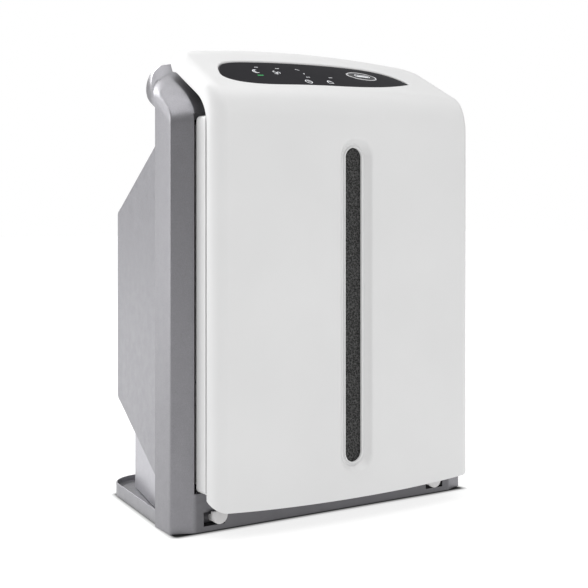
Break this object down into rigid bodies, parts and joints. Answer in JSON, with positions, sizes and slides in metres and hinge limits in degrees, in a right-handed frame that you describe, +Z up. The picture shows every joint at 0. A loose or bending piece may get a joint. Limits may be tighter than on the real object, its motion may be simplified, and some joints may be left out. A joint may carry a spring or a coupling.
{
  "type": "air purifier",
  "caption": "Free-standing domestic air purifier with a tilting front cover, vertical intake slot, top control panel, filter stack, centrifugal fan and rear cord tray.",
  "frame": {"origin": "middle of the footprint, on the floor under the rubber feet", "axes": "+Z up; the front cover faces -Y; +X is to the right as seen from the front"},
  "size_m": [0.43, 0.298, 0.5675],
  "materials": {
    "white_plastic": "satin warm white moulding",
    "silver_paint": "satin silver-grey paint",
    "pale_silver_paint": "satin pale silver paint",
    "grey_plastic": "matte grey moulding",
    "black_plastic": "matte black moulding",
    "gloss_black": "glossy charcoal panel",
    "steel": "plain steel",
    "chrome": "bright silver trim",
    "board_green": "green circuit board",
    "copper_core": "wound copper core",
    "rubber": "matt rubber",
    "foam": "open-cell charcoal foam",
    "filter_paper": "pleated filter paper",
    "carbon": "activated carbon pad",
    "tab_fabric": "woven pull tab"
  },
  "bodies": {
    "root": {"particle_filter_frame": "white_plastic", "body_frame": "silver_paint", "base_tray": "silver_paint", "rear_housing": "pale_silver_paint", "lower_body": "pale_silver_paint", "outlet_grille": "grey_plastic", "fan_bulkhead": "grey_plastic", "inlet_bellmouth": "grey_plastic", "fan_scroll": "grey_plastic", "motor_bracket": "grey_plastic", "control_housing": "black_plastic", "button_switch": "black_plastic", "power_inlet": "black_plastic", "carbon_filter_frame": "black_plastic", "board_capacitor": "black_plastic", "particle_sensor": "black_plastic", "door_sensor": "black_plastic", "control_lens": "gloss_black", "left_catch_plate": "steel", "right_catch_plate": "steel", "inlet_contacts": "steel", "inlet_guard": "steel", "fan_motor": "steel", "motor_screw_1": "steel", "motor_screw_2": "steel", "motor_screw_3": "steel", "lower_left_screw": "steel", "lower_right_screw": "steel", "upper_left_screw": "steel", "upper_right_screw": "steel", "button_ring": "chrome", "control_board": "board_green", "main_board": "board_green", "power_transformer": "copper_core", "front_left_foot": "rubber", "front_right_foot": "rubber", "rear_left_foot": "rubber", "rear_right_foot": "rubber", "motor_damper_1": "rubber", "motor_damper_2": "rubber", "motor_damper_3": "rubber", "particle_filter_media": "filter_paper", "carbon_filter_pad": "carbon", "left_pull_tab": "tab_fabric", "right_pull_tab": "tab_fabric"},
    "front_door": {"front_cover": "white_plastic", "intake_trim": "white_plastic", "door_band": "white_plastic", "prefilter_foam": "foam", "prefilter_grid": "grey_plastic", "left_cover_magnet": "steel", "right_cover_magnet": "steel", "left_hinge_foot": "white_plastic", "right_hinge_foot": "white_plastic"},
    "fan": {"fan_impeller": "black_plastic", "motor_shaft": "steel", "hub_nut": "steel"},
    "button": {"power_button": "black_plastic"}
  },
  "joints": [
    {"name": "cover_tilt", "type": "hinge", "parent": "root", "child": "front_door", "pos_m": [0, -0.091, 0.0165], "axis": [1, 0, 0], "range_deg": [0, 22]},
    {"name": "fan_spin", "type": "hinge", "parent": "root", "child": "fan", "pos_m": [0, 0.06, 0.245], "axis": [0, 1, 0], "continuous": true},
    {"name": "power_press", "type": "slide", "parent": "root", "child": "button", "axis": [0, 0.4534, -0.8913], "range_m": [0, 0.0012], "stiffness_N_per_m": 400, "springref_m": -0.0005}
  ]
}
